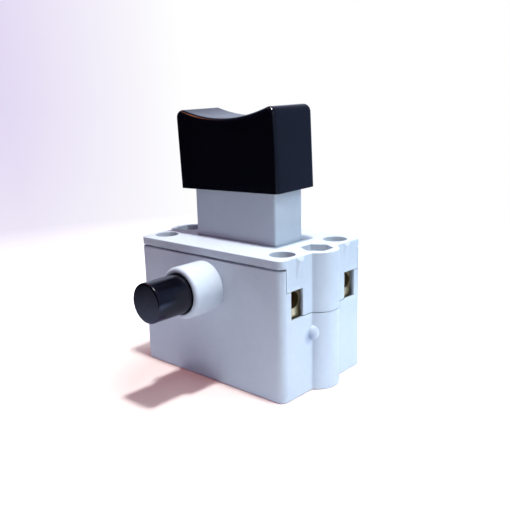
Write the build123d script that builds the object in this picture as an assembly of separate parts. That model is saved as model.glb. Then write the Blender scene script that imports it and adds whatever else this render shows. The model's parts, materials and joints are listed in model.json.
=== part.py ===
from build123d import *

import os

# Trigger switch for a hand-held power tool, in millimetres.
# The origin is the centre of the housing's bottom face. X runs from one terminal end to the
# other, -Y is the side with the lock button, and +Z is up, towards the finger pad.
# The housing is sized from the inside out: each outer size is a sum of what lies within.

# ---- Trigger stem and its travel ----
stem_length = 22.75
stem_width = 8.9
stem_edge_radius = 0.5
shoulder_reach = 0.86
trigger_travel = 6.0
bottoming_clearance = 0.3
slide_clearance_x = 0.2
slide_clearance_y = 0.25
cover_window_clearance = 0.2
shoulder_rest_gap = 0.05
core_wall = 1.4
core_length = 5.2
core_roof = 2.0

# ---- Walls, along X from the well outwards ----
divider_wall = 1.6
nut_pocket_wall = 1.5
nut_pocket_across_flats = 5.8
pillar_setback = 1.865
pillar_radius = 4.5
pillar_crease_round = 0.25
end_wall = 0.6

# ---- Walls, along Y from the well outwards ----
inner_wall = 1.48
bay_width = 5.1
side_wall = 2.18

# ---- Floor, seams and rims ----
floor_thickness = 2.0
cover_plate_thickness = 1.65
long_seam_gap = 0.42
short_seam_gap = 0.17
hidden_fit = 0.05
housing_corner_radius = 1.6
rim_round = 0.2
base_rim_bevel = 0.12
collar_to_rim = 0.63

# ---- Cover end skirts, wire windows and screwdriver holes ----
skirt_half_width = 11.9
skirt_drop = 4.7
tongue_half_width = 7.0
window_outer_edge = 10.65
window_height = 5.65
screwdriver_hole_radius = 2.55
locating_lip_thickness = 0.9
locating_lip_height = 1.2
wedge_rib_width = 2.4
wedge_rib_offset = 7.8
wedge_rib_reach = 0.35
wedge_rib_slope = 0.8
wedge_rib_height = 4.4
gate_mark_radius = 1.75
gate_mark_rise = 1.15
gate_mark_height = 12.2
gate_mark_inset = 0.55

# ---- Contact arms, bridges and their springs ----
arm_half_length = 3.5
arm_side_clearance = 0.4
arm_end_clearance = 0.2
arm_sill = 1.2
arm_roof = 1.0
bridge_length = 19.0
bridge_width = 3.0
bridge_thickness = 0.8
bridge_side_clearance = 0.1
bridge_spring_height = 5.1
bridge_spring_radius = 1.1
bridge_spring_wire = 0.5
spring_pip_radius = 0.7
spring_pip_height = 0.5
contact_gap = 3.0
closed_contact_clearance = 0.03
tip_height = 0.9
bridge_tip_radius = 1.25
fixed_tip_radius = 1.5
tip_x = 8.0

# ---- Fixed contacts and wire clamps ----
strip_thickness = 0.8
strip_width = 4.0
strip_toe_reach = 2.0
leg_to_clamp_gap = 0.6
tab_short_of_clamp = 0.7
bay_end_clearance = 0.05
clamp_setback = 1.1
clamp_length = 5.7
clamp_width = 4.0
clamp_height = 7.6
clamp_below_sill = 0.25
clamp_edge_bevel = 0.3
wire_hole_radius = 1.7
wire_hole_height = 3.7
terminal_screw_setback = 3.6
terminal_thread_radius = 1.7
terminal_head_radius = 2.2
terminal_head_height = 2.0
terminal_head_standoff = 0.1
terminal_slot_width = 0.7
terminal_slot_depth = 1.0
thread_clearance = 0.05

# ---- Case screws and nuts ----
case_screw_radius = 1.45
case_hole_radius = 1.65
case_head_radius = 2.75
case_head_height = 2.0
case_head_recess = 0.3
case_head_clearance = 0.25
case_cross_length = 3.2
case_cross_width = 0.7
case_cross_depth = 1.2
case_nut_across_flats = 5.5
case_nut_height = 2.4
nut_seat_below_plate = 3.4
case_screw_short_of_nut_top = 0.4
case_seat_ring_radius = 2.8

# ---- Return spring of the trigger ----
return_bore_radius = 3.4
return_spring_radius = 2.8
return_spring_wire = 0.7
return_boss_radius = 2.1
return_boss_height = 1.5
return_bore_roof = 1.55

# ---- Lock button, its collar, shaft, ring and spring ----
lock_x = -0.1
lock_travel = 4.0
collar_radius = 5.3
collar_length = 7.27
collar_rim_round = 0.75
collar_bore_bevel = 0.15
collar_floor_thickness = 2.25
button_radius = 4.02
button_standout = 8.16
button_running_gap = 0.17
button_rear_clearance = 0.1
button_nose = 4.9
button_edge_round = 0.4
button_spring_bore_radius = 3.2
shaft_radius = 1.5
shaft_hole_radius = 1.6
shaft_socket_depth = 3.0
shaft_press_clearance = 0.01
shaft_tip_bevel = 0.4
shaft_to_stem_gap = 0.6
lock_ring_radius = 2.4
lock_ring_thickness = 0.6
lock_ring_gap = 0.05
lock_ring_over_arms = 1.7
lock_pocket_radius = 1.75
lock_pocket_end_clearance = 0.3
lock_spring_radius = 2.4
lock_spring_wire = 0.5

# ---- Finger pad ----
cap_length = 27.7
cap_width = 12.23
cap_waist_height = 14.76
cap_saddle_radius = 37.5
cap_top_round = 1.6
cap_edge_round = 0.95
cap_above_cover = 10.78
cap_offset_x = -0.265
cap_offset_y = -0.1
cap_lean_about_x = 1.33
cap_lean_about_y = -1.25
cap_socket_depth = 10.0
cap_socket_clearance = 0.08
snap_rib_radius = 0.5
snap_rib_length = 4.0
snap_rib_standout = 0.3
snap_rib_below_top = 2.5

# ---- Number of turns in each kind of spring ----
return_spring_turns = 6
bridge_spring_turns = 4
lock_spring_turns = 5

ENDS = (-1, 1)
SIDES = (-1, 1)
BOTH_ENDS_AND_SIDES = [(end, side) for end in ENDS for side in SIDES]

# ---- Places along X ----
well_half_length = stem_length / 2 + shoulder_reach + slide_clearance_x
pillar_block_inner_x = well_half_length + divider_wall
pillar_x = pillar_block_inner_x + nut_pocket_wall + nut_pocket_across_flats / 2
end_x = pillar_x + pillar_setback
end_wall_inner_x = end_x - end_wall
clamp_front_x = end_x - clamp_setback
clamp_rear_x = clamp_front_x - clamp_length
leg_outer_x = clamp_rear_x - leg_to_clamp_gap
bay_half_length = leg_outer_x + bay_end_clearance
terminal_screw_x = end_x - terminal_screw_setback

# ---- Places along Y ----
well_half_width = stem_width / 2 + slide_clearance_y
bay_inner_y = well_half_width + inner_wall
bay_outer_y = bay_inner_y + bay_width
pole_y = bay_inner_y + bay_width / 2
side_y = bay_outer_y + side_wall
arm_reach_y = bay_outer_y - arm_end_clearance

# ---- Heights of the moving contacts, from the floor up ----
arm_bottom_z = floor_thickness + bottoming_clearance + trigger_travel
arm_slot_floor_z = floor_thickness
bridge_z = arm_bottom_z + arm_sill
bridge_top_z = bridge_z + bridge_thickness
arm_ceiling_z = bridge_top_z + bridge_spring_height
arm_top_z = arm_ceiling_z + arm_roof
fixed_tip_top_z = bridge_z - tip_height - contact_gap - closed_contact_clearance
strip_top_z = fixed_tip_top_z - tip_height
shelf_z = strip_top_z - strip_thickness

# ---- Heights of the lock and of the housing ----
lock_z = arm_top_z + lock_ring_over_arms + lock_ring_radius
base_top_z = lock_z + collar_radius + collar_to_rim
plate_z = base_top_z + long_seam_gap
housing_top_z = plate_z + cover_plate_thickness
return_bore_ceiling_z = lock_z - lock_pocket_radius - return_bore_roof

# ---- Heights at the terminals, from the cover down ----
skirt_bottom_z = plate_z - skirt_drop
sill_z = skirt_bottom_z - window_height
clamp_bottom_z = sill_z - clamp_below_sill
clamp_top_z = clamp_bottom_z + clamp_height
clamp_shelf_z = clamp_bottom_z - strip_thickness
wire_hole_z = clamp_bottom_z + wire_hole_height
nut_seat_z = plate_z - nut_seat_below_plate
case_screw_top_z = nut_seat_z + case_nut_height - case_screw_short_of_nut_top
case_head_top_z = case_head_recess + case_head_height

# ---- Heights of the stem and finger pad ----
cap_bottom_z = housing_top_z + cap_above_cover
stem_top_z = cap_bottom_z + cap_socket_depth - cap_socket_clearance
snap_rib_z = stem_top_z - snap_rib_below_top

# ---- Places of the lock along Y, on the -Y side ----
collar_front_y = -(side_y + collar_length)
collar_floor_y = -(bay_outer_y + collar_floor_thickness)
button_front_y = collar_front_y - button_standout
button_rear_y = collar_floor_y - lock_travel - button_rear_clearance
button_seat_y = button_front_y + button_nose
shaft_front_y = button_seat_y - shaft_socket_depth
shaft_tip_y = -(stem_width / 2 + shaft_to_stem_gap)
lock_pocket_depth = lock_travel - shaft_to_stem_gap + lock_pocket_end_clearance
lock_ring_front_y = -(bay_outer_y - lock_ring_gap)


def box_between(x_ends, y_ends, z_ends):
    """A box between two values on each axis, given in either order."""
    spans = [sorted(pair) for pair in (x_ends, y_ends, z_ends)]
    sizes = [high - low for low, high in spans]
    middle = [(high + low) / 2 for low, high in spans]
    return Pos(*middle) * Box(*sizes)


def upright(radius, x, y, z_ends):
    """A vertical cylinder between two heights."""
    low, high = sorted(z_ends)
    return Pos(x, y, (low + high) / 2) * Cylinder(radius, high - low)


def lock_cylinder(radius, y_ends):
    """A cylinder on the lock button's axis, between two places along Y."""
    low, high = sorted(y_ends)
    return Pos(lock_x, (low + high) / 2, lock_z) * Rot(90, 0, 0) * Cylinder(radius, high - low)


def rounded_block(length, width, radius, z_ends):
    """A block with rounded vertical edges, centred on the Z axis."""
    low, high = z_ends
    return Pos(0, 0, low) * extrude(RectangleRounded(length, width, radius), high - low)


def hexagon_prism(across_flats, x, z_ends):
    """A hexagon with corners along Y, for the nuts and their pockets."""
    low, high = z_ends
    outline = RegularPolygon(across_flats / 2, 6, major_radius=False, rotation=90)
    return Pos(x, 0, low) * extrude(outline, high - low)


def coil_spring(mean_radius, wire_diameter, height, turns):
    """A compression spring that stands on the XY plane and is as tall as its seats allow."""
    rise = height - wire_diameter
    centre_line = Pos(0, 0, wire_diameter / 2) * Helix(rise / turns, rise, mean_radius)
    wire = Plane(origin=centre_line @ 0, z_dir=centre_line % 0) * Circle(wire_diameter / 2)
    return sweep(wire, path=centre_line, is_frenet=True)


def outer_shell(z_ends):
    """The housing's outline with its end pillars, between two heights."""
    low, high = z_ends
    outline = Sketch() + RectangleRounded(2 * end_x, 2 * side_y, housing_corner_radius)
    for end in ENDS:
        outline += Pos(end * pillar_x, 0) * Circle(pillar_radius)
    near_pillar = [v for v in outline.vertices() if abs(v.Y) < pillar_radius]
    creases = [v for v in near_pillar if abs(abs(v.X) - end_x) < hidden_fit]
    outline = fillet(creases, pillar_crease_round)
    return Pos(0, 0, low) * extrude(outline, high - low)


# ---- Housing ----


def end_skirts(fit, seam):
    """What the cover puts into the base at both ends: skirts, tongues and pillar blocks.

    With a fit and a seam above 0 it is the room that the base leaves for them.
    """
    skirts = Part()
    top = plate_z + hidden_fit
    outside = end_x + pillar_radius
    for end in ENDS:
        wall = (end * (end_wall_inner_x + hidden_fit - fit), end * outside)
        skirt_half = skirt_half_width + seam
        tongue_half = tongue_half_width if fit == 0 else window_outer_edge
        skirts += box_between(wall, (-skirt_half, skirt_half), (skirt_bottom_z - seam, top))
        skirts += box_between(wall, (-tongue_half, tongue_half), (sill_z - seam, top))
        block_half = pillar_radius + fit
        block = (end * (pillar_block_inner_x - fit), end * outside)
        skirts += box_between(block, (-block_half, block_half), (sill_z - seam, top))
    return skirts


def wedge_rib(end, side):
    """A small bowed rib on the cover's end face that fades out downwards."""
    foot_z = housing_top_z - wedge_rib_height
    outline = Polyline(
        (end_x - end_wall / 2, foot_z),
        (end_x, foot_z),
        (end_x + wedge_rib_reach, housing_top_z - wedge_rib_slope),
        (end_x, housing_top_z),
        (end_x - end_wall / 2, housing_top_z),
        close=True,
    )
    wedge = extrude(Plane.XZ * make_face(outline), wedge_rib_width / 2, both=True)
    bow_radius = ((wedge_rib_width / 2) ** 2 + wedge_rib_reach**2) / (2 * wedge_rib_reach)
    bow = upright(bow_radius, end_x + wedge_rib_reach - bow_radius, 0, (foot_z, housing_top_z))
    rib = Pos(0, side * wedge_rib_offset, 0) * (wedge & bow)
    return rib if end > 0 else mirror(rib, about=Plane.YZ)


def lock_collar():
    """The guide collar of the lock button, before it is bored."""
    collar = lock_cylinder(collar_radius, (collar_front_y, -(side_y - side_wall / 2)))
    front_rim = collar.edges().filter_by(GeomType.CIRCLE).sort_by(Axis.Y)[0]
    return fillet(front_rim, collar_rim_round)


def collar_mouth():
    """The small bevel at the mouth of the collar's bore."""
    bore_radius = button_radius + button_running_gap
    cone = Cone(bore_radius, bore_radius + collar_bore_bevel, collar_bore_bevel)
    middle_y = collar_front_y + collar_bore_bevel / 2
    return Pos(lock_x, middle_y, lock_z) * Rot(90, 0, 0) * cone


def gate_mark():
    """The moulding mark in the crease between the near pillar and the end face, a low dome."""
    dome_radius = (gate_mark_radius**2 + gate_mark_rise**2) / (2 * gate_mark_rise)
    depth = gate_mark_rise + end_wall / 2
    reach = Pos(dome_radius - depth / 2, dome_radius / 2) * Rectangle(depth, dome_radius)
    dome = revolve(Circle(dome_radius) & reach, Axis.X)
    crease_y = (pillar_radius**2 - pillar_setback**2) ** 0.5
    centre_x = end_x + gate_mark_rise - dome_radius
    return Pos(centre_x, gate_mark_inset - crease_y, gate_mark_height) * dome


def mechanism_well():
    """Room in the base for the trigger, its arms, the bridges and the terminals."""
    top = base_top_z + hidden_fit
    room = box_between(
        (-well_half_length, well_half_length),
        (-well_half_width, well_half_width),
        (floor_thickness, top),
    )
    slot_half = arm_half_length + arm_side_clearance
    room += box_between(
        (-slot_half, slot_half), (-bay_outer_y, bay_outer_y), (arm_slot_floor_z, top)
    )
    for side in SIDES:
        bay_y = (side * bay_inner_y, side * bay_outer_y)
        room += box_between((-bay_half_length, bay_half_length), bay_y, (shelf_z, top))
        pocket_x = (-end_wall_inner_x, end_wall_inner_x)
        room += box_between(pocket_x, bay_y, (clamp_shelf_z, top))
    return room


def make_housing_base():
    """The lower case, with pillars, lock collar, bays and terminal pockets."""
    base = outer_shell((0, base_top_z))
    base = chamfer(base.edges().group_by(Axis.Z)[0], rim_round)
    base = chamfer(base.edges().group_by(Axis.Z)[-1], base_rim_bevel)
    base += lock_collar()
    base -= end_skirts(hidden_fit, short_seam_gap)
    base -= mechanism_well()
    base += upright(return_boss_radius, 0, 0, (0, floor_thickness + return_boss_height))
    base -= lock_cylinder(button_radius + button_running_gap, (collar_front_y, collar_floor_y))
    base -= collar_mouth()
    base -= lock_cylinder(shaft_hole_radius, (collar_floor_y, -bay_inner_y))
    for end in ENDS:
        seat = (sill_z - 2 * short_seam_gap, sill_z)
        base += upright(case_seat_ring_radius, end * pillar_x, 0, seat)
        base -= upright(case_hole_radius, end * pillar_x, 0, (0, base_top_z))
        head_room = (0, case_head_top_z)
        base -= upright(case_head_radius + case_head_clearance, end * pillar_x, 0, head_room)
    return base + gate_mark()


def make_housing_cover():
    """The top plate, with its end skirts, pillar tops, pockets and holes."""
    plate = outer_shell((plate_z, housing_top_z))
    outline = outer_shell((sill_z, plate_z))
    cover = plate + (outline & end_skirts(0, 0))
    cover = fillet(cover.edges().group_by(Axis.Z)[-1], rim_round)
    for end, side in BOTH_ENDS_AND_SIDES:
        cover += wedge_rib(end, side)
    lip_outer = bay_outer_y - hidden_fit
    for side in SIDES:
        lip_y = (side * (lip_outer - locating_lip_thickness), side * lip_outer)
        lip_z = (plate_z - locating_lip_height, plate_z)
        cover += box_between((-bay_half_length, bay_half_length), lip_y, lip_z)
    through = (sill_z, housing_top_z + rim_round)
    window_length = stem_length + 2 * cover_window_clearance
    window_width = stem_width + 2 * cover_window_clearance
    cover -= rounded_block(window_length, window_width, stem_edge_radius, through)
    for end in ENDS:
        pocket = (nut_seat_z, housing_top_z + rim_round)
        cover -= hexagon_prism(nut_pocket_across_flats, end * pillar_x, pocket)
        cover -= upright(case_hole_radius, end * pillar_x, 0, through)
    for end, side in BOTH_ENDS_AND_SIDES:
        hole = (plate_z, housing_top_z + rim_round)
        place = (end * terminal_screw_x, side * pole_y)
        cover -= upright(screwdriver_hole_radius, *place, hole)
    return cover


# ---- Trigger ----


def contact_arm(side):
    """One arm of the plunger, a frame that carries a contact bridge and its spring."""
    reach = (side * stem_width / 4, side * arm_reach_y)
    arm = box_between((-arm_half_length, arm_half_length), reach, (arm_bottom_z, arm_top_z))
    half_opening = bridge_width / 2 + bridge_side_clearance
    opening_y = (side * (pole_y - half_opening), side * (pole_y + half_opening))
    length = (-arm_half_length, arm_half_length)
    arm -= box_between(length, opening_y, (bridge_z, arm_ceiling_z))
    pip = (arm_ceiling_z - spring_pip_height, arm_ceiling_z + arm_roof / 2)
    return arm + upright(spring_pip_radius, 0, side * pole_y, pip)


def make_trigger_plunger():
    """The stem, its shoulders under the cover, the contact arms, bore and lock pockets."""
    plunger = rounded_block(stem_length, stem_width, stem_edge_radius, (arm_bottom_z, stem_top_z))
    plunger = chamfer(plunger.edges().group_by(Axis.Z)[-1], stem_edge_radius)
    shoulder_half = stem_length / 2 + shoulder_reach
    plunger += box_between(
        (-shoulder_half, shoulder_half),
        (-stem_width / 2, stem_width / 2),
        (arm_bottom_z, plate_z - shoulder_rest_gap),
    )
    for side in SIDES:
        plunger += contact_arm(side)
    plunger -= upright(return_bore_radius, 0, 0, (arm_bottom_z, return_bore_ceiling_z))
    core_outer_x = shoulder_half - core_wall
    core_half_width = stem_width / 2 - core_wall
    for end in ENDS:
        plunger -= box_between(
            (end * (core_outer_x - core_length), end * core_outer_x),
            (-core_half_width, core_half_width),
            (arm_bottom_z, plate_z - core_roof),
        )
        rib_x = end * (stem_length / 2 + snap_rib_standout - snap_rib_radius)
        rib = Rot(90, 0, 0) * Cylinder(snap_rib_radius, snap_rib_length)
        plunger += Pos(rib_x, 0, snap_rib_z) * rib
    pocket_y = (-stem_width / 2, -stem_width / 2 + lock_pocket_depth)
    for height in (0, trigger_travel):
        plunger -= Pos(0, 0, height) * lock_cylinder(lock_pocket_radius, pocket_y)
    return plunger


def cap_block():
    """The finger pad without its socket: a block with a saddle top, standing on Z = 0."""
    saddle_z = cap_waist_height + cap_saddle_radius
    blank = Pos(0, cap_waist_height) * Rectangle(cap_length, 2 * cap_waist_height)
    profile = blank - Pos(0, saddle_z) * Circle(cap_saddle_radius)
    profile &= Pos(0, cap_waist_height) * Rectangle(cap_length, 2 * cap_waist_height)
    horn_tips = profile.vertices().group_by(Axis.Y)[-1]
    profile = fillet(horn_tips, cap_top_round)
    block = extrude(Plane.XZ * profile, cap_width / 2, both=True)
    upper = [e for e in block.edges() if e.center().Z > cap_waist_height / 2]
    rims = [e for e in upper if abs(abs(e.center().Y) - cap_width / 2) < hidden_fit]
    saddle_rims = [e for e in rims if e.bounding_box().max.Z > cap_waist_height]
    return fillet(saddle_rims, cap_edge_round)


def make_trigger_cap():
    """The finger pad, pushed onto the stem with a slight lean."""
    lean = Rot(cap_lean_about_x, cap_lean_about_y, 0)
    cap = Pos(cap_offset_x, cap_offset_y, cap_bottom_z) * lean * cap_block()
    socket_length = stem_length + 2 * cap_socket_clearance
    socket_width = stem_width + 2 * cap_socket_clearance
    socket = (housing_top_z, stem_top_z + cap_socket_clearance)
    cap -= rounded_block(socket_length, socket_width, stem_edge_radius, socket)
    for end in ENDS:
        rib_x = end * (stem_length / 2 + snap_rib_standout - snap_rib_radius)
        groove = Rot(90, 0, 0) * Cylinder(
            snap_rib_radius + cap_socket_clearance, snap_rib_length + 2 * cap_socket_clearance
        )
        cap -= Pos(rib_x, 0, snap_rib_z) * groove
    return cap


def make_return_spring():
    """The spring that pushes the trigger up."""
    height = return_bore_ceiling_z - floor_thickness
    spring = coil_spring(return_spring_radius, return_spring_wire, height, return_spring_turns)
    return Pos(0, 0, floor_thickness) * spring


# ---- Contacts ----


def make_contact_bridge(side):
    """A moving bridge strip with rounded ends and a pip that centres its spring."""
    strip = extrude(SlotOverall(bridge_length, bridge_width), bridge_thickness)
    bridge = Pos(0, side * pole_y, bridge_z) * strip
    pip = (bridge_z + bridge_thickness / 2, bridge_top_z + spring_pip_height)
    return bridge + upright(spring_pip_radius, 0, side * pole_y, pip)


def make_bridge_tips(side):
    """The two contact points under a bridge."""
    height = (bridge_z - tip_height, bridge_z)
    return [upright(bridge_tip_radius, end * tip_x, side * pole_y, height) for end in ENDS]


def make_bridge_spring(side):
    """The contact pressure spring between a bridge and the roof of its arm."""
    spring = coil_spring(
        bridge_spring_radius, bridge_spring_wire, bridge_spring_height, bridge_spring_turns
    )
    return Pos(0, side * pole_y, bridge_top_z) * spring


def make_fixed_contact(end, side):
    """A strip bent twice: toe under the bridge, upright leg, and tab under the clamp."""
    width = (side * (pole_y - strip_width / 2), side * (pole_y + strip_width / 2))
    leg_inner_x = leg_outer_x - strip_thickness
    toe_x = tip_x - strip_toe_reach
    tab_x = clamp_front_x - tab_short_of_clamp
    toe = box_between((end * toe_x, end * leg_outer_x), width, (shelf_z, strip_top_z))
    leg = box_between((end * leg_inner_x, end * leg_outer_x), width, (shelf_z, clamp_bottom_z))
    tab = box_between((end * leg_inner_x, end * tab_x), width, (clamp_shelf_z, clamp_bottom_z))
    return toe + leg + tab


def make_fixed_contact_tips():
    """The four contact points on the fixed strips."""
    height = (strip_top_z, fixed_tip_top_z)
    return [
        upright(fixed_tip_radius, end * tip_x, side * pole_y, height)
        for end, side in BOTH_ENDS_AND_SIDES
    ]


def make_terminal_clamp(end, side):
    """A clamp block, cross-bored for the wire and tapped from above for its screw."""
    length = (end * clamp_rear_x, end * clamp_front_x)
    width = (side * (pole_y - clamp_width / 2), side * (pole_y + clamp_width / 2))
    clamp = box_between(length, width, (clamp_bottom_z, clamp_top_z))
    clamp = chamfer(clamp.edges().filter_by(Axis.X), clamp_edge_bevel)
    wire_hole = Rot(0, 90, 0) * Cylinder(wire_hole_radius, 2 * end_x)
    clamp -= Pos(0, side * pole_y, wire_hole_z) * wire_hole
    tapped = (wire_hole_z, clamp_top_z)
    place = (end * terminal_screw_x, side * pole_y)
    return clamp - upright(terminal_thread_radius + thread_clearance, *place, tapped)


def make_terminal_screws():
    """The four slotted screws that hold the wires in the clamps."""
    head_bottom_z = clamp_top_z + terminal_head_standoff
    head_top_z = head_bottom_z + terminal_head_height
    tip_z = wire_hole_z + wire_hole_radius
    slot = Box(2 * terminal_head_radius, terminal_slot_width, 2 * terminal_slot_depth)
    screw = upright(terminal_head_radius, 0, 0, (head_bottom_z, head_top_z))
    screw += upright(terminal_thread_radius, 0, 0, (tip_z, head_bottom_z))
    screw -= Pos(0, 0, head_top_z) * slot
    return [
        Pos(end * terminal_screw_x, side * pole_y, 0) * screw
        for end, side in BOTH_ENDS_AND_SIDES
    ]


# ---- Case screws and nuts ----


def make_case_screws():
    """The two cross-head screws that hold the case together from below."""
    screw = upright(case_head_radius, 0, 0, (case_head_recess, case_head_top_z))
    screw += upright(case_screw_radius, 0, 0, (case_head_top_z, case_screw_top_z))
    for turn in (0, 90):
        bar = Rot(0, 0, turn) * Box(case_cross_length, case_cross_width, 2 * case_cross_depth)
        screw -= Pos(0, 0, case_head_recess) * bar
    return [Pos(end * pillar_x, 0, 0) * screw for end in ENDS]


def make_case_nuts():
    """The two nuts in the hexagon pockets of the cover."""
    height = (nut_seat_z, nut_seat_z + case_nut_height)
    nuts = []
    for end in ENDS:
        nut = hexagon_prism(case_nut_across_flats, end * pillar_x, height)
        nuts.append(nut - upright(case_screw_radius + thread_clearance, end * pillar_x, 0, height))
    return nuts


# ---- Lock ----


def make_lock_button():
    """The push button, hollow from behind for its spring."""
    button = lock_cylinder(button_radius, (button_front_y, button_rear_y))
    front_rim = button.edges().filter_by(GeomType.CIRCLE).sort_by(Axis.Y)[0]
    button = fillet(front_rim, button_edge_round)
    button -= lock_cylinder(button_spring_bore_radius, (button_seat_y, button_rear_y))
    socket_radius = shaft_radius + shaft_press_clearance
    return button - lock_cylinder(socket_radius, (shaft_front_y, button_seat_y))


def make_lock_shaft():
    """The steel pin that enters the trigger's pocket and holds it down."""
    shaft = lock_cylinder(shaft_radius, (shaft_front_y, shaft_tip_y))
    tip = shaft.edges().filter_by(GeomType.CIRCLE).sort_by(Axis.Y)[-1]
    return chamfer(tip, shaft_tip_bevel)


def make_lock_ring():
    """The retaining ring that stops the pin at the inside of the wall."""
    length = (lock_ring_front_y, lock_ring_front_y + lock_ring_thickness)
    ring = lock_cylinder(lock_ring_radius, length)
    return ring - lock_cylinder(shaft_radius + shaft_press_clearance, length)


def make_lock_spring():
    """The spring that pushes the lock button out."""
    height = collar_floor_y - button_seat_y
    spring = coil_spring(lock_spring_radius, lock_spring_wire, height, lock_spring_turns)
    return Pos(lock_x, collar_floor_y, lock_z) * Rot(90, 0, 0) * spring


# ---- Nodes ----

END_NAMES = {-1: "left", 1: "right"}
SIDE_NAMES = {-1: "front", 1: "rear"}

nodes = {
    "housing_base": make_housing_base(),
    "housing_cover": make_housing_cover(),
    "case_screws": make_case_screws(),
    "case_nuts": make_case_nuts(),
    "terminal_screws": make_terminal_screws(),
    "fixed_contact_tips": make_fixed_contact_tips(),
    "trigger_plunger": make_trigger_plunger(),
    "trigger_cap": make_trigger_cap(),
    "return_spring": make_return_spring(),
    "lock_button": make_lock_button(),
    "lock_shaft": make_lock_shaft(),
    "lock_clip": make_lock_ring(),
    "lock_spring": make_lock_spring(),
}

for side in SIDES:
    side_name = SIDE_NAMES[side]
    nodes[f"contact_bridge_{side_name}"] = make_contact_bridge(side)
    nodes[f"bridge_tips_{side_name}"] = make_bridge_tips(side)
    nodes[f"bridge_spring_{side_name}"] = make_bridge_spring(side)
    for end in ENDS:
        place_name = f"{side_name}_{END_NAMES[end]}"
        nodes[f"terminal_clamp_{place_name}"] = make_terminal_clamp(end, side)
        nodes[f"fixed_contact_{place_name}"] = make_fixed_contact(end, side)

os.makedirs("parts", exist_ok=True)
for name, shape in nodes.items():
    if isinstance(shape, list):
        shape = Compound([solid for piece in shape for solid in piece.solids()])
    export_step(shape, f"parts/{name}.step")
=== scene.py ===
import json
from math import cos, pi, radians, sin

import bpy
from mathutils import Matrix, Vector


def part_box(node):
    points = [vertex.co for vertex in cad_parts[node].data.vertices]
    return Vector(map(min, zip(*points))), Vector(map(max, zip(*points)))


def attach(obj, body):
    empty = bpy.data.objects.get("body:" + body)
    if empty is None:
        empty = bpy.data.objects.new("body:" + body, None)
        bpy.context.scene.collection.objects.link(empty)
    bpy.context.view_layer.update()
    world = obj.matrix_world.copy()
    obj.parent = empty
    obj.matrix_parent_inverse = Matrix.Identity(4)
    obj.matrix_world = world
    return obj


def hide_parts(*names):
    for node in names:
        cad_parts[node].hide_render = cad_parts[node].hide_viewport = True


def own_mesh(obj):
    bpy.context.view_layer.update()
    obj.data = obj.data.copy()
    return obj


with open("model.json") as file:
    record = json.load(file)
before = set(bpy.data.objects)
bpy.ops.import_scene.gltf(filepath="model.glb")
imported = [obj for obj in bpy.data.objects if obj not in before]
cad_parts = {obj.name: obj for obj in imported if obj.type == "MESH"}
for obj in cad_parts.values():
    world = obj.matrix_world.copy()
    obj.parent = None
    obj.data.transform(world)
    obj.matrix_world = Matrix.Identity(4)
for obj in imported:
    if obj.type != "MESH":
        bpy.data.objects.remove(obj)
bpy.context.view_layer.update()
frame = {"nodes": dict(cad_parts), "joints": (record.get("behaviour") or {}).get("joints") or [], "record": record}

# Looks of a trigger switch: a light grey moulded housing, a gloss black finger pad and
# lock button, and brass clamps behind the wire windows. Lengths are in metres, angles in
# degrees and lamp powers in watts. The lens and its sensor are in millimetres.
#
# In the names below, a SIZE is how far across a texture's features are, and a SHARE is how
# much of a colour shows at most. A REACH is the two distances between which something
# fades, and a TURN is the same for a direction, as two cosines of its angle to a side.

MM = 0.001
UP = (0, 0, 1)

# ---- Camera: where it stands round the object, and its lens ----
CAMERA_AZIMUTH = 42.04
CAMERA_ELEVATION = 13.45
CAMERA_ROLL = -1.45
CAMERA_PLACE = Vector((94.02, -102.25, 57.55)) * MM
CAMERA_CLIP_START = 0.01
SENSOR_WIDTH = 36.0
LENS = 46.08

# ---- Lamps: place, target, width, power and colour ----
KEY_PLACE = Vector((0.030, -0.011, 0.230))
KEY_TARGET = Vector((0.030, -0.011, 0))
KEY_WIDTH = 0.020
KEY_POWER = 0.55
KEY_COLOUR = (0.97, 0.99, 1.0)
SIDE_PLACE = Vector((0.28, 0.11, 0.28))
SIDE_TARGET = Vector((0, 0, 0.03))
SIDE_WIDTH = 0.36
SIDE_POWER = 1.30
SIDE_COLOUR = (0.72, 0.87, 0.97)
WARM_PLACE = Vector((-0.150, -0.068, 0.255))
WARM_TARGET = Vector((-0.013, -0.006, 0.055))
WARM_WIDTH = 0.030
WARM_POWER = 0.045
WARM_COLOUR = (1.0, 0.30, 0.10)
BOUNCE_PLACE = Vector((0.066, 0.016, 0.300))
BOUNCE_RADIUS = 0.02
BOUNCE_CONE = 15.0
BOUNCE_BLEND = 0.3
BOUNCE_POWER = 6.0
BOUNCE_COLOUR = (0.62, 0.87, 1.0)
AMBIENT_COLOUR = (0.05, 0.05, 0.08)
AMBIENT_SIDE_COLOUR = (0.30, 0.22, 0.36)
AMBIENT_SIDE_TURN = (0, 1)

# ---- Backdrop: white, and lavender on one side ----
BACKDROP_COLOUR = (1.0, 1.0, 1.0)
BACKDROP_SIDE_COLOUR = (0.77, 0.70, 0.90)
BACKDROP_SIDE = (-0.90, -0.44, 0)
BACKDROP_SIDE_TURN = (0.37, 0.59)

# ---- Room that only gloss shows: pale blue, with a wall, ceiling and dark side ----
GLOSS_COLOUR = (0.70, 0.77, 1.0)
WALL_COLOUR = (0.20, 0.27, 0.48)
WALL_SIDE = (1.0, 0.6, 0)
WALL_TURN = (0.3, 0.7)
CEILING_COLOUR = (0.12, 0.15, 0.26)
CEILING_TURN = (0.40, 0.72)
DARK_COLOUR = (0.008, 0.008, 0.020)
DARK_SIDE = (-0.55, -0.83, 0)
DARK_TURN = (0.1, 0.5)
ROOM_REACH = (0.050, 0.105)

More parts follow.
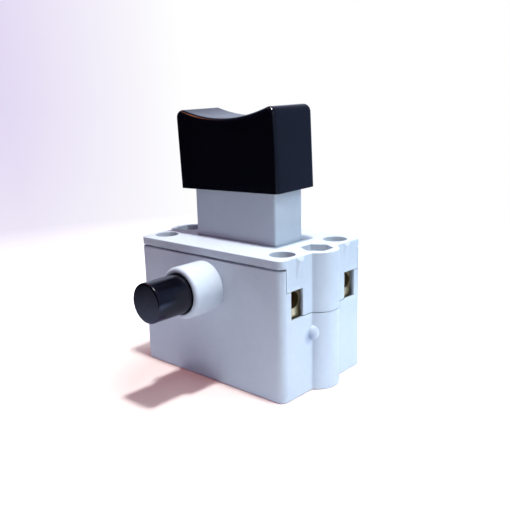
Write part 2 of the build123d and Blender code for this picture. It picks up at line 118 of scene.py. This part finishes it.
# ---- Floor: pale, warm to the camera in shadow, and white away from the object ----
FLOOR_WIDTH = 6.0
FLOOR_DROP = 0.02 * MM
FLOOR_COLOUR = (0.80, 0.79, 0.80)
FLOOR_SPECK_COLOUR = (0.77, 0.76, 0.77)
FLOOR_SPECK_SIZE = 0.5 * MM
FLOOR_WARM_COLOUR = (0.78, 0.69, 0.65)
FLOOR_WARM_SHARE = 0.9
FLOOR_GLOSS_COLOUR = (0.30, 0.34, 0.60)
# A painted warm glow on the floor near the object, which lifts and warms its shadow.
FLOOR_GLOW_COLOUR = (0.100, 0.010, 0.0)
FLOOR_ROUGHNESS = 0.6
FLOOR_FADE_CENTRE = (0.004, -0.012, 0)
FLOOR_FADE_REACH = (0.020, 0.055)
FLOOR_DARK_REACH = (0.08, 0.20)
FLOOR_SIDE_CENTRE = (0.10, -0.10, 0)
FLOOR_SIDE_START = 0.07

# ---- Edges: how far a rounded normal turns from the true one on a sharp edge: worn on the black, and a painted highlight on the grey ----
BEVEL_SAMPLES = 6
EDGE_TURN = (0.80, 0.999)

# ---- Noise: its usual range, and its roughness ----
NOISE_RANGE = (0.3, 0.7)
NOISE_ROUGHNESS = 0.55

# ---- Moulded grey plastic ----
GREY_COLOUR = (0.60, 0.655, 0.735)
GREY_FLOW_COLOUR = (0.64, 0.69, 0.765)
GREY_FLOW_SIZE = 14 * MM
GREY_FLOW_STRETCH = (1, 1, 0.35)
GREY_MOTTLE_COLOUR = (0.57, 0.625, 0.71)
GREY_MOTTLE_SIZE = 1.6 * MM
GREY_MOTTLE_RANGE = (0.45, 0.75)
GREY_MOTTLE_SHARE = 0.35
# The grey's edge colour is a painted highlight along its sharp edges.
GREY_EDGE_HIGHLIGHT_COLOUR = (0.74, 0.78, 0.83)
GREY_EDGE_HIGHLIGHT_WIDTH = 0.22 * MM
GREY_EDGE_HIGHLIGHT_SHARE = 0.45
GREY_EDGE_ROUNDING = 0.14 * MM
GREY_GRAIN_SIZE = 0.16 * MM
GREY_GRAIN_DEPTH = 0.004 * MM
GREY_SINK_SIZE = 7 * MM
GREY_SINK_DEPTH = 0.020 * MM
GREY_ROUGHNESS = (0.36, 0.48)
GREY_IOR = 1.5
GREY_SUBSURFACE = 0.06
GREY_SUBSURFACE_RADIUS = (1.0, 0.9, 0.8)
GREY_SUBSURFACE_SCALE = 0.6 * MM

# ---- Moulding mark on the housing, in the crease of the near pillar: a low dome with
# painted shade that darkens it towards its top, and a painted shade beside it ----
MARK_PLACE = (0.01955, -0.00355, 0.0122)
MARK_DOME_SHADE_COLOUR = (0.40, 0.44, 0.54)
MARK_DOME_SHADE_REACH = (1.84 * MM, 1.96 * MM)
MARK_DOME_SHADE_HEIGHT = (11.7 * MM, 13.0 * MM)
# The shade beside the dome is painted shade in the crease.
MARK_SHADE_PLACE = (0.0203, -0.0051, 0.0116)
MARK_PAINTED_SHADE_COLOUR = (0.34, 0.39, 0.52)
MARK_SHADE_REACH = (0.3 * MM, 1.8 * MM)

# ---- Gloss black plastic ----
BLACK_COLOUR = (0.002, 0.002, 0.005)
BLACK_WORN_COLOUR = (0.035, 0.035, 0.04)
BLACK_WORN_WIDTH = 0.25 * MM
BLACK_WORN_SHARE = 0.15
BLACK_EDGE_ROUNDING = 0.15 * MM
BLACK_SMUDGE_SIZE = 5 * MM
BLACK_HAIR_SIZE = 0.09 * MM
BLACK_HAIR_STRETCH = (0.08, 1, 1)
BLACK_HAIR_DEPTH = 0.0012 * MM
BLACK_PEEL_SIZE = 1.3 * MM
BLACK_PEEL_DEPTH = 0.006 * MM
BLACK_ROUGHNESS = (0.13, 0.24)
BLACK_IOR = 1.49
DUST_COLOUR = (0.07, 0.07, 0.08)
DUST_SPACING = 1.4 * MM
DUST_SPECK_REACH = (0.03, 0.06)
DUST_PATCH_SIZE = 2.2 * MM
DUST_PATCH_RANGE = (0.60, 0.66)
DUST_ROUGHNESS = 0.4

# ---- Metals ----
METAL_EDGE_WIDTH = 0.12 * MM
METAL_EDGE_SHARE = 0.5
METAL_EDGE_ROUNDING = 0.08 * MM
METAL_TARNISH_SIZE = 2.5 * MM
METAL_TARNISH_ROUGHNESS = 0.12
METAL_MARK_DEPTH = 0.004 * MM
METAL_MARK_ROUGHNESS = (-0.05, 0.07)

# ---- Coil springs: wire diameter and number of turns ----
SPRINGS = {
    "return_spring": (0.70 * MM, 6),
    "bridge_spring_front": (0.50 * MM, 4),
    "bridge_spring_rear": (0.50 * MM, 4),
    "lock_spring": (0.50 * MM, 5),
}
SPRING_STEPS = 32
SPRING_WIRE_ROUNDNESS = 3


# ---- Small helpers for objects and node trees ----


def add_object(name, data):
    """An object in the scene."""
    thing = bpy.data.objects.new(name, data)
    bpy.context.scene.collection.objects.link(thing)
    return thing


def new_material(name):
    """A material with its node tree and main shader."""
    material = bpy.data.materials.new(name)
    material.use_nodes = True
    tree = material.node_tree
    return material, tree, tree.nodes["Principled BSDF"]


def add_node(tree, kind, **values):
    """A node with its settings. A name that isn't a setting is an input's, with _ for
    each space."""
    node = tree.nodes.new(kind)
    for key, value in values.items():
        if hasattr(node, key):
            setattr(node, key, value)
        else:
            node.inputs[key.replace("_", " ")].default_value = value
    return node


def give(tree, slot, value):
    """Links an input to a value that is a socket, and otherwise sets it."""
    if isinstance(value, bpy.types.NodeSocket):
        tree.links.new(value, slot)
    else:
        slot.default_value = value


def maths(tree, operation, first, second):
    """A maths node of two values, each a socket or a number."""
    node = add_node(tree, "ShaderNodeMath", operation=operation)
    give(tree, node.inputs[0], first)
    give(tree, node.inputs[1], second)
    return node.outputs["Value"]


def vector_maths(tree, operation, first, second=None, result="Vector"):
    """A vector maths node of one or two vectors, each a socket or three numbers."""
    node = add_node(tree, "ShaderNodeVectorMath", operation=operation)
    give(tree, node.inputs[0], first)
    if second is not None:
        give(tree, node.inputs[1], second)
    return node.outputs[result]


def between(tree, value, low, high, start=NOISE_RANGE[0], end=NOISE_RANGE[1]):
    """Low where a value is at its start, high where it is at its end, and clamped."""
    node = add_node(
        tree, "ShaderNodeMapRange", From_Min=start, From_Max=end, To_Min=low, To_Max=high
    )
    tree.links.new(value, node.inputs["Value"])
    return node.outputs["Result"]


def mixed_colour(tree, factor, first, second):
    """A colour between two, by a factor. Each colour is a socket or three numbers."""
    node = add_node(tree, "ShaderNodeMix", data_type="RGBA")
    tree.links.new(factor, node.inputs["Factor"])
    for name, value in (("A", first), ("B", second)):
        slot = [s for s in node.inputs if s.name == name and s.type == "RGBA"][0]
        give(tree, slot, (*value, 1) if isinstance(value, tuple) else value)
    return [s for s in node.outputs if s.type == "RGBA"][0]


def layered(tree, colour, *layers):
    """A colour with others laid over it in turn. Each layer is a factor and a colour."""
    for factor, over in layers:
        colour = mixed_colour(tree, factor, colour, over)
    return colour


def object_coordinates(tree, stretch=(1, 1, 1)):
    """The piece's own coordinates in metres, stretched for grain that runs one way."""
    coordinates = tree.nodes.new("ShaderNodeTexCoord")
    mapping = add_node(tree, "ShaderNodeMapping", Scale=stretch)
    tree.links.new(coordinates.outputs["Object"], mapping.inputs["Vector"])
    return mapping.outputs["Vector"]


def noise(tree, vector, size, detail):
    """Noise whose features are about that many metres across."""
    node = add_node(
        tree, "ShaderNodeTexNoise", Scale=1 / size, Detail=detail, Roughness=NOISE_ROUGHNESS
    )
    tree.links.new(vector, node.inputs["Vector"])
    return node.outputs["Fac"]


def near(tree, place, centre, reach):
    """1 near a centre and 0 away from it, fading over a reach."""
    distance = vector_maths(tree, "DISTANCE", place, centre, "Value")
    return between(tree, distance, 1, 0, *reach)


def facing(tree, vector, side, turn):
    """0 at the start of a direction's turn towards a side, and 1 at its end. A place has
    a reach along the side in the turn's stead."""
    dot = vector_maths(tree, "DOT_PRODUCT", vector, Vector(side).normalized(), "Value")
    return between(tree, dot, 0, 1, *turn)


def glossy_rays(tree):
    """1 for what is seen in gloss."""
    return tree.nodes.new("ShaderNodeLightPath").outputs["Is Glossy Ray"]


def camera_rays(tree):
    """1 for what the camera sees by itself."""
    return tree.nodes.new("ShaderNodeLightPath").outputs["Is Camera Ray"]


def facing_in_gloss(tree, vector, side, turn):
    """What facing gives, but 0 for all that isn't seen in gloss."""
    return maths(tree, "MULTIPLY", glossy_rays(tree), facing(tree, vector, side, turn))


def seen_rays(tree):
    """1 for what is seen by the camera, in gloss or through glass, and 0 for soft light."""
    path = tree.nodes.new("ShaderNodeLightPath").outputs
    seen = maths(tree, "ADD", path["Is Camera Ray"], path["Is Glossy Ray"])
    return maths(tree, "MINIMUM", maths(tree, "ADD", seen, path["Is Transmission Ray"]), 1)


# ---- Materials ----


def rounded_normal(tree, radius):
    """The surface's normal, with edges rounded over a radius."""
    bevel = add_node(tree, "ShaderNodeBevel", samples=BEVEL_SAMPLES, Radius=radius)
    return bevel.outputs["Normal"]


def edge_mask(tree, width, share):
    """How much of an edge colour shows: its share on sharp edges, and 0 on flat ones."""
    normal = tree.nodes.new("ShaderNodeNewGeometry").outputs["Normal"]
    dot = vector_maths(tree, "DOT_PRODUCT", rounded_normal(tree, width), normal, "Value")
    return maths(tree, "MULTIPLY", between(tree, dot, 1, 0, *EDGE_TURN), share)


def add_bump(tree, shader, layers, rounding):
    """Surface relief. Each layer is a height socket and its depth in metres."""
    normal = rounded_normal(tree, rounding)
    for height, depth in layers:
        bump = add_node(tree, "ShaderNodeBump", Strength=1.0, Distance=depth)
        tree.links.new(height, bump.inputs["Height"])
        tree.links.new(normal, bump.inputs["Normal"])
        normal = bump.outputs["Normal"]
    tree.links.new(normal, shader.inputs["Normal"])


def moulded_grey():
    """Light grey moulded plastic: satin, with a fine spark-eroded grain, faint flow
    marks and sink, a painted highlight along sharp edges, and painted shade on and
    beside the housing's moulding mark."""
    material, tree, shader = new_material("moulded_grey")
    place = object_coordinates(tree)
    along_flow = object_coordinates(tree, GREY_FLOW_STRETCH)
    flow = between(tree, noise(tree, along_flow, GREY_FLOW_SIZE, detail=2), 0, 1)
    mottle = noise(tree, place, GREY_MOTTLE_SIZE, detail=4)
    speckle = between(tree, mottle, 0, GREY_MOTTLE_SHARE, *GREY_MOTTLE_RANGE)
    grain = noise(tree, place, GREY_GRAIN_SIZE, detail=2)
    sink = noise(tree, place, GREY_SINK_SIZE, detail=1)
    # Painted shade: the dome's colour goes darker towards its top, over its lit side.
    dome_shade = near(tree, place, MARK_PLACE, MARK_DOME_SHADE_REACH)
    dome_shade = maths(tree, "MULTIPLY", dome_shade, facing(tree, place, UP, MARK_DOME_SHADE_HEIGHT))
    colour = layered(
        tree,
        GREY_COLOUR,
        (flow, GREY_FLOW_COLOUR),
        (speckle, GREY_MOTTLE_COLOUR),
        # Painted highlight along sharp edges.
        (edge_mask(tree, GREY_EDGE_HIGHLIGHT_WIDTH, GREY_EDGE_HIGHLIGHT_SHARE), GREY_EDGE_HIGHLIGHT_COLOUR),
        (dome_shade, MARK_DOME_SHADE_COLOUR),
        # Painted shade in the crease beside the dome.
        (near(tree, place, MARK_SHADE_PLACE, MARK_SHADE_REACH), MARK_PAINTED_SHADE_COLOUR),
    )
    tree.links.new(colour, shader.inputs["Base Color"])
    tree.links.new(between(tree, mottle, *GREY_ROUGHNESS), shader.inputs["Roughness"])
    shader.inputs["IOR"].default_value = GREY_IOR
    shader.inputs["Subsurface Weight"].default_value = GREY_SUBSURFACE
    shader.inputs["Subsurface Radius"].default_value = GREY_SUBSURFACE_RADIUS
    shader.inputs["Subsurface Scale"].default_value = GREY_SUBSURFACE_SCALE
    relief = [(sink, GREY_SINK_DEPTH), (grain, GREY_GRAIN_DEPTH)]
    add_bump(tree, shader, relief, GREY_EDGE_ROUNDING)
    return material


def dust_specks(tree, place):
    """1 on small specks of dust, which lie only in some patches."""
    cells = add_node(tree, "ShaderNodeTexVoronoi", Scale=1 / DUST_SPACING)
    tree.links.new(place, cells.inputs["Vector"])
    speck = between(tree, cells.outputs["Distance"], 1, 0, *DUST_SPECK_REACH)
    patches = noise(tree, place, DUST_PATCH_SIZE, detail=0)
    return maths(tree, "MULTIPLY", speck, between(tree, patches, 0, 1, *DUST_PATCH_RANGE))


def gloss_black():
    """Polished black plastic with hair scratches, smudges and a little dust."""
    material, tree, shader = new_material("gloss_black")
    place = object_coordinates(tree)
    smudge = noise(tree, place, BLACK_SMUDGE_SIZE, detail=3)
    along_hair = object_coordinates(tree, BLACK_HAIR_STRETCH)
    hair = noise(tree, along_hair, BLACK_HAIR_SIZE, detail=1)
    peel = noise(tree, place, BLACK_PEEL_SIZE, detail=1)
    dust = dust_specks(tree, place)
    worn = edge_mask(tree, BLACK_WORN_WIDTH, BLACK_WORN_SHARE)
    colour = layered(tree, BLACK_COLOUR, (dust, DUST_COLOUR), (worn, BLACK_WORN_COLOUR))
    tree.links.new(colour, shader.inputs["Base Color"])
    dusty = maths(tree, "MULTIPLY", dust, DUST_ROUGHNESS)
    roughness = maths(tree, "ADD", between(tree, smudge, *BLACK_ROUGHNESS), dusty)
    tree.links.new(roughness, shader.inputs["Roughness"])
    shader.inputs["IOR"].default_value = BLACK_IOR
    relief = [(peel, BLACK_PEEL_DEPTH), (hair, BLACK_HAIR_DEPTH)]
    add_bump(tree, shader, relief, BLACK_EDGE_ROUNDING)
    return material


def metal(name, bright, dull, roughness, stretch, mark_size):
    """A metal with patches where it has dulled, and tool marks along the axis that is
    stretched least."""
    material, tree, shader = new_material(name)
    place = object_coordinates(tree)
    tarnish = between(tree, noise(tree, place, METAL_TARNISH_SIZE, detail=4), 0, 1)
    marks = noise(tree, object_coordinates(tree, stretch), mark_size, detail=2)
    edge = edge_mask(tree, METAL_EDGE_WIDTH, METAL_EDGE_SHARE)
    colour = layered(tree, bright, (tarnish, dull), (edge, bright))
    tree.links.new(colour, shader.inputs["Base Color"])
    shader.inputs["Metallic"].default_value = 1.0
    least, most = (roughness + change for change in METAL_MARK_ROUGHNESS)
    tarnished = maths(tree, "MULTIPLY", tarnish, METAL_TARNISH_ROUGHNESS)
    rough = maths(tree, "ADD", between(tree, marks, least, most), tarnished)
    tree.links.new(rough, shader.inputs["Roughness"])
    add_bump(tree, shader, [(marks, METAL_MARK_DEPTH)], METAL_EDGE_ROUNDING)
    return material


def clamp_brass():
    """Machined brass, a little dull, with tool marks along X."""
    return metal(
        "clamp_brass",
        bright=(0.82, 0.68, 0.34),
        dull=(0.56, 0.44, 0.19),
        roughness=0.30,
        stretch=(0.1, 1, 1),
        mark_size=0.18 * MM,
    )


def contact_brass():
    """Brass strip, rolled along Y."""
    return metal(
        "contact_brass",
        bright=(0.78, 0.62, 0.34),
        dull=(0.58, 0.44, 0.22),
        roughness=0.26,
        stretch=(1, 0.1, 1),
        mark_size=0.12 * MM,
    )


def plated_steel():
    """Zinc plated steel, drawn along Z."""
    return metal(
        "plated_steel",
        bright=(0.74, 0.75, 0.77),
        dull=(0.56, 0.57, 0.58),
        roughness=0.24,
        stretch=(1, 1, 0.15),
        mark_size=0.15 * MM,
    )


def spring_steel():
    """Dark drawn wire, with an even grain."""
    return metal(
        "spring_steel",
        bright=(0.52, 0.52, 0.54),
        dull=(0.30, 0.29, 0.29),
        roughness=0.30,
        stretch=(1, 1, 1),
        mark_size=0.10 * MM,
    )


def silver_contact():
    """Silver alloy, with an even grain."""
    return metal(
        "silver_contact",
        bright=(0.86, 0.85, 0.82),
        dull=(0.62, 0.60, 0.55),
        roughness=0.34,
        stretch=(1, 1, 1),
        mark_size=0.20 * MM,
    )


def dress_nodes():
    """Gives each CAD node the material of its slot. Returns the materials by slot."""
    finishes = {
        "housing_grey": moulded_grey(),
        "gloss_black": gloss_black(),
        "clamp_brass": clamp_brass(),
        "contact_brass": contact_brass(),
        "plated_steel": plated_steel(),
        "spring_steel": spring_steel(),
        "silver_contact": silver_contact(),
    }
    for part in frame["record"]["subparts"]:
        piece = frame["nodes"][part["node"]]
        for slot in piece.material_slots:
            slot.material = finishes[part["material_slot"]]
    return finishes


# ---- Coil springs, which ride with their joints' moving bodies ----


def coil_mesh(centre, radius, length, axis, wire, turns):
    """A helix of round wire about an axis, 1 for Y or 2 for Z. Its length takes in the
    thickness of the wire."""
    curve = bpy.data.curves.new("helix", "CURVE")
    curve.dimensions = "3D"
    curve.bevel_depth = wire / 2
    curve.bevel_resolution = SPRING_WIRE_ROUNDNESS
    curve.use_fill_caps = True
    steps = turns * SPRING_STEPS
    spline = curve.splines.new("POLY")
    spline.points.add(steps)
    for step, point in enumerate(spline.points):
        angle = 2 * pi * step / SPRING_STEPS
        first, second = radius * cos(angle), radius * sin(angle)
        along = (step / steps - 0.5) * (length - wire)
        offset = (first, along, second) if axis == 1 else (first, second, along)
        point.co = (*(centre + Vector(offset)), 1)
    helix = add_object("helix", curve)
    mesh = bpy.data.meshes.new_from_object(helix)
    bpy.data.objects.remove(helix)
    mesh.shade_smooth()
    return mesh


def add_spring(joint, node, axis, fixed_end, finish):
    """A coil in place of a CAD spring, which moves with its body."""
    wire, turns = SPRINGS[node]
    low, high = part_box(node)
    length = high[axis] - low[axis]
    radius = (high.x - low.x - wire) / 2
    mesh = coil_mesh((low + high) / 2, radius, length, axis, wire, turns)
    mesh.materials.clear()
    mesh.materials.append(finish)
    piece = add_object(f"{node}_coil", mesh)
    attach(piece, joint["child"])
    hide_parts(node)
    anchor, direction = Vector(), Vector()
    high_end_moves = abs(high[axis] - fixed_end) > abs(low[axis] - fixed_end)
    anchor[axis] = high[axis] if high_end_moves else low[axis]
    direction[axis] = 1
    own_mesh(piece)


def add_springs(finishes):
    """A coil for each spring that a joint shortens. The frame says along which axis, and
    where its fixed end is."""
    slots = {part["node"]: part["material_slot"] for part in frame["record"]["subparts"]}
    for joint in frame["joints"]:
        for spring in joint.get("deforming_nodes", []):
            node, letter = spring["node"], spring["mode"][-1]
            axis, fixed_end = "xyz".index(letter), spring[f"fixed_end_{letter}_m"]
            add_spring(joint, node, axis, fixed_end, finishes[slots[node]])


# ---- Camera, lamps and stage ----


def add_camera():
    """The camera, aimed by azimuth, elevation and roll."""
    azimuth, elevation, roll = (
        radians(angle) for angle in (CAMERA_AZIMUTH, CAMERA_ELEVATION, CAMERA_ROLL)
    )
    level = cos(elevation)
    back = Vector((sin(azimuth) * level, -cos(azimuth) * level, sin(elevation)))
    right = Vector(UP).cross(back).normalized()
    up = back.cross(right)
    turned_right = right * cos(roll) + up * sin(roll)
    turned_up = up * cos(roll) - right * sin(roll)
    axes = Matrix((turned_right, turned_up, back)).transposed()
    data = bpy.data.cameras.new("camera")
    data.sensor_width = SENSOR_WIDTH
    data.lens = LENS
    data.clip_start = CAMERA_CLIP_START
    camera = add_object("camera", data)
    camera.matrix_world = Matrix.Translation(CAMERA_PLACE) @ axes.to_4x4()
    bpy.context.scene.camera = camera


def add_lamp(name, shape, place, target, width, power, colour):
    """A flat lamp in place, pointing at a target."""
    data = bpy.data.lights.new(name, "AREA")
    data.shape = shape
    data.size = width
    data.energy = power
    data.color = colour
    lamp = add_object(name, data)
    lamp.location = place
    lamp.rotation_euler = (target - place).to_track_quat("-Z", "Y").to_euler()
    return lamp


def add_bounce():
    """A spot over the floor at the object's right, whose light comes up off the floor."""
    bounce = bpy.data.lights.new("bounce", "SPOT")
    bounce.energy = BOUNCE_POWER
    bounce.color = BOUNCE_COLOUR
    bounce.spot_size = radians(BOUNCE_CONE)
    bounce.spot_blend = BOUNCE_BLEND
    bounce.shadow_soft_size = BOUNCE_RADIUS
    add_object("bounce", bounce).location = BOUNCE_PLACE


def add_lamps():
    """A small lamp above the object's right half, a wide cool one behind its right that
    gloss doesn't show, a weak warm one at its left that the finger pad's rim shows, and
    the bounce."""
    add_lamp("key", "DISK", KEY_PLACE, KEY_TARGET, KEY_WIDTH, KEY_POWER, KEY_COLOUR)
    side = add_lamp(
        "side", "SQUARE", SIDE_PLACE, SIDE_TARGET, SIDE_WIDTH, SIDE_POWER, SIDE_COLOUR
    )
    side.visible_glossy = False
    add_lamp("warm", "DISK", WARM_PLACE, WARM_TARGET, WARM_WIDTH, WARM_POWER, WARM_COLOUR)
    add_bounce()


def add_world():
    """Faint ambient light, behind the backdrop that the camera sees and the room that
    gloss shows."""
    world = bpy.data.worlds.new("world")
    bpy.context.scene.world = world
    world.use_nodes = True
    tree = world.node_tree
    direction = tree.nodes.new("ShaderNodeTexCoord").outputs["Generated"]
    backdrop = layered(
        tree,
        BACKDROP_COLOUR,
        (facing(tree, direction, BACKDROP_SIDE, BACKDROP_SIDE_TURN), BACKDROP_SIDE_COLOUR),
        (glossy_rays(tree), GLOSS_COLOUR),
        (facing_in_gloss(tree, direction, WALL_SIDE, WALL_TURN), WALL_COLOUR),
        (facing_in_gloss(tree, direction, UP, CEILING_TURN), CEILING_COLOUR),
        (facing_in_gloss(tree, direction, DARK_SIDE, DARK_TURN), DARK_COLOUR),
    )
    ambient_side = facing(tree, direction, BACKDROP_SIDE, AMBIENT_SIDE_TURN)
    ambient = mixed_colour(tree, ambient_side, AMBIENT_COLOUR, AMBIENT_SIDE_COLOUR)
    colour = mixed_colour(tree, seen_rays(tree), ambient, backdrop)
    tree.links.new(colour, tree.nodes["Background"].inputs["Color"])


def floor_side(tree, place, distance):
    """How much the floor takes on the colour of the backdrop's side: none near the
    object, and more the farther it runs to that side."""
    from_centre = vector_maths(tree, "SUBTRACT", place, FLOOR_SIDE_CENTRE)
    direction = vector_maths(tree, "NORMALIZE", from_centre)
    side = facing(tree, direction, BACKDROP_SIDE, BACKDROP_SIDE_TURN)
    nearness = maths(tree, "DIVIDE", FLOOR_SIDE_START, distance)
    farness = maths(tree, "MAXIMUM", maths(tree, "SUBTRACT", 1, nearness), 0)
    return maths(tree, "MULTIPLY", side, farness)


def floor_material():
    """Pale paper near the object. Farther out, and on the dark side that gloss shows, its
    own colour goes to black, and only the glow is left: the backdrop's or the room's."""
    material, tree, shader = new_material("floor")
    place = object_coordinates(tree)
    distance = vector_maths(tree, "LENGTH", place, result="Value")
    glossy = glossy_rays(tree)
    wall_side = facing_in_gloss(tree, place, WALL_SIDE, ROOM_REACH)
    dark_side = facing_in_gloss(tree, place, DARK_SIDE, ROOM_REACH)
    speck = between(tree, noise(tree, place, FLOOR_SPECK_SIZE, detail=3), 0, 1)
    warm = maths(tree, "MULTIPLY", camera_rays(tree), FLOOR_WARM_SHARE)
    far = between(tree, distance, 0, 1, *FLOOR_DARK_REACH)
    own = layered(
        tree,
        FLOOR_COLOUR,
        (speck, FLOOR_SPECK_COLOUR),
        (warm, FLOOR_WARM_COLOUR),
        (glossy, FLOOR_GLOSS_COLOUR),
        (maths(tree, "MAXIMUM", far, dark_side), (0, 0, 0)),
    )
    backdrop = layered(
        tree,
        BACKDROP_COLOUR,
        (floor_side(tree, place, distance), BACKDROP_SIDE_COLOUR),
        (glossy, GLOSS_COLOUR),
    )
    close = near(tree, place, FLOOR_FADE_CENTRE, FLOOR_FADE_REACH)
    # Near the object the floor glows with painted warm light, which tints its shadow.
    glow = layered(
        tree,
        FLOOR_GLOW_COLOUR,
        (maths(tree, "SUBTRACT", 1, close), backdrop),
        (wall_side, WALL_COLOUR),
        (dark_side, DARK_COLOUR),
    )
    tree.links.new(own, shader.inputs["Base Color"])
    tree.links.new(glow, shader.inputs["Emission Color"])
    tree.links.new(seen_rays(tree), shader.inputs["Emission Strength"])
    shader.inputs["Roughness"].default_value = FLOOR_ROUGHNESS
    shader.inputs["Specular IOR Level"].default_value = 0
    return material


def add_floor():
    """A square floor, just under the object's foot so that the two faces don't meet."""
    mesh = bpy.data.meshes.new("floor")
    half = FLOOR_WIDTH / 2
    corners = [(-half, -half, 0), (half, -half, 0), (half, half, 0), (-half, half, 0)]
    mesh.from_pydata(corners, [], [(0, 1, 2, 3)])
    mesh.materials.append(floor_material())
    floor = add_object("floor", mesh)
    floor.location.z = -FLOOR_DROP


add_camera()
add_world()
add_lamps()
add_floor()
add_springs(dress_nodes())

bpy.context.scene.view_settings.view_transform = "Standard"
